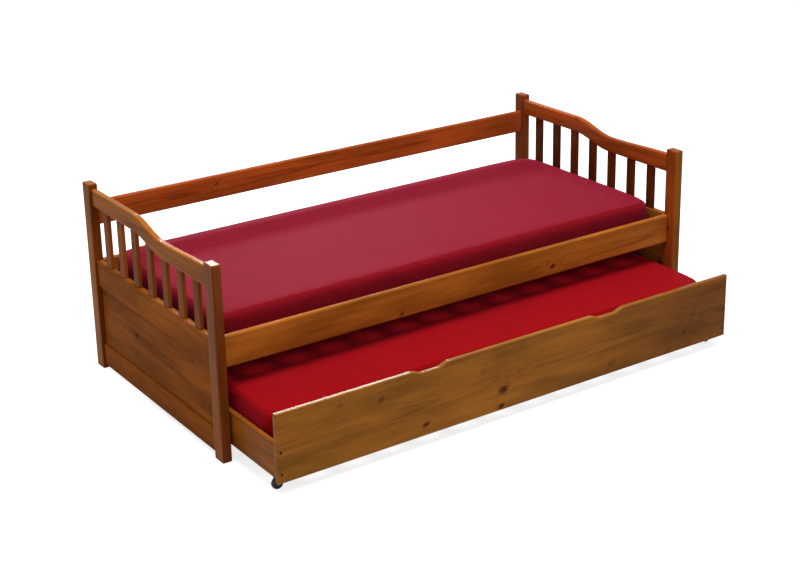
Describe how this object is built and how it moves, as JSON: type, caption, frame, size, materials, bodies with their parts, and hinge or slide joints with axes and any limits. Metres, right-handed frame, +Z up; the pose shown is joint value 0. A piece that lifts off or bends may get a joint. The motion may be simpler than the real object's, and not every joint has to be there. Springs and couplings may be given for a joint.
{
  "type": "captains bed",
  "caption": "Pine captains bed with slatted ends dipping in a curve, a low back rail, red foam mattresses and a trundle bed drawn out on castors.",
  "frame": {"origin": "on the floor, under the middle of the whole bed with its trundle drawn out 290 mm past the front posts", "axes": "+X along the bed towards its right end as seen from the front, -Y is the way the trundle draws out, +Z up"},
  "size_m": [2, 1.26, 0.71],
  "materials": {
    "stained_pine": "antique stain under satin varnish",
    "red_pine": "redder antique stain under satin varnish",
    "plain_pine": "planed, unfinished",
    "mattress_cover": "red woven cotton cover over foam",
    "castor_steel": "zinc plated",
    "castor_black": "satin black",
    "castor_wheel": "hard black rubber"
  },
  "bodies": {
    "bed_frame": {"left_rear_post": "stained_pine", "left_front_post": "stained_pine", "left_top_rail": "stained_pine", "left_mid_rail": "stained_pine", "left_bottom_rail": "red_pine", "left_panel": "stained_pine", "left_slat_1": "stained_pine", "left_slat_2": "stained_pine", "left_slat_3": "stained_pine", "left_slat_4": "stained_pine", "left_slat_5": "stained_pine", "left_slat_6": "stained_pine", "left_slat_7": "stained_pine", "right_rear_post": "stained_pine", "right_front_post": "stained_pine", "right_top_rail": "stained_pine", "right_mid_rail": "stained_pine", "right_bottom_rail": "red_pine", "right_panel": "stained_pine", "right_slat_1": "stained_pine", "right_slat_2": "stained_pine", "right_slat_3": "stained_pine", "right_slat_4": "stained_pine", "right_slat_5": "stained_pine", "right_slat_6": "stained_pine", "right_slat_7": "stained_pine", "front_side_rail": "stained_pine", "rear_side_rail": "stained_pine", "back_rail": "red_pine", "front_cleat": "plain_pine", "rear_cleat": "plain_pine", "bed_slat_base": "plain_pine", "bed_mattress": "mattress_cover"},
    "trundle": {"trundle_front_board": "stained_pine", "trundle_back_board": "stained_pine", "trundle_left_board": "stained_pine", "trundle_right_board": "stained_pine", "trundle_block_front_left": "plain_pine", "trundle_block_front_right": "plain_pine", "trundle_block_rear_left": "plain_pine", "trundle_block_rear_right": "plain_pine", "trundle_front_cleat": "plain_pine", "trundle_rear_cleat": "plain_pine", "trundle_slat_base": "plain_pine", "trundle_mattress": "mattress_cover", "castor_plate_front_left": "castor_steel", "castor_plate_front_right": "castor_steel", "castor_plate_rear_left": "castor_steel", "castor_plate_rear_right": "castor_steel"},
    "castor_front_left": {"castor_fork_front_left": "castor_black"},
    "wheel_front_left": {"castor_wheel_front_left": "castor_wheel"},
    "castor_front_right": {"castor_fork_front_right": "castor_black"},
    "wheel_front_right": {"castor_wheel_front_right": "castor_wheel"},
    "castor_rear_left": {"castor_fork_rear_left": "castor_black"},
    "wheel_rear_left": {"castor_wheel_rear_left": "castor_wheel"},
    "castor_rear_right": {"castor_fork_rear_right": "castor_black"},
    "wheel_rear_right": {"castor_wheel_rear_right": "castor_wheel"}
  },
  "joints": [
    {"name": "trundle_slide", "type": "slide", "parent": "bed_frame", "child": "trundle", "axis": [0, -1, 0], "range_m": [-0.302, 0.7]},
    {"name": "castor_swivel_front_left", "type": "hinge", "parent": "trundle", "child": "castor_front_left", "pos_m": [-0.92, -0.58, 0.045], "axis": [0, 0, 1], "continuous": true},
    {"name": "wheel_spin_front_left", "type": "hinge", "parent": "castor_front_left", "child": "wheel_front_left", "pos_m": [-0.938, -0.58, 0.02], "axis": [0, -1, 0], "continuous": true},
    {"name": "castor_swivel_front_right", "type": "hinge", "parent": "trundle", "child": "castor_front_right", "pos_m": [0.92, -0.58, 0.045], "axis": [0, 0, 1], "continuous": true},
    {"name": "wheel_spin_front_right", "type": "hinge", "parent": "castor_front_right", "child": "wheel_front_right", "pos_m": [0.929, -0.56441, 0.02], "axis": [-0.866, 0.5, 0], "continuous": true},
    {"name": "castor_swivel_rear_left", "type": "hinge", "parent": "trundle", "child": "castor_rear_left", "pos_m": [-0.92, 0.256, 0.045], "axis": [0, 0, 1], "continuous": true},
    {"name": "wheel_spin_rear_left", "type": "hinge", "parent": "castor_rear_left", "child": "wheel_rear_left", "pos_m": [-0.92313, 0.27373, 0.02], "axis": [-0.9848, -0.1736, 0], "continuous": true},
    {"name": "castor_swivel_rear_right", "type": "hinge", "parent": "trundle", "child": "castor_rear_right", "pos_m": [0.92, 0.256, 0.045], "axis": [0, 0, 1], "continuous": true},
    {"name": "wheel_spin_rear_right", "type": "hinge", "parent": "castor_rear_right", "child": "wheel_rear_right", "pos_m": [0.92313, 0.27373, 0.02], "axis": [-0.9848, 0.1736, 0], "continuous": true}
  ]
}
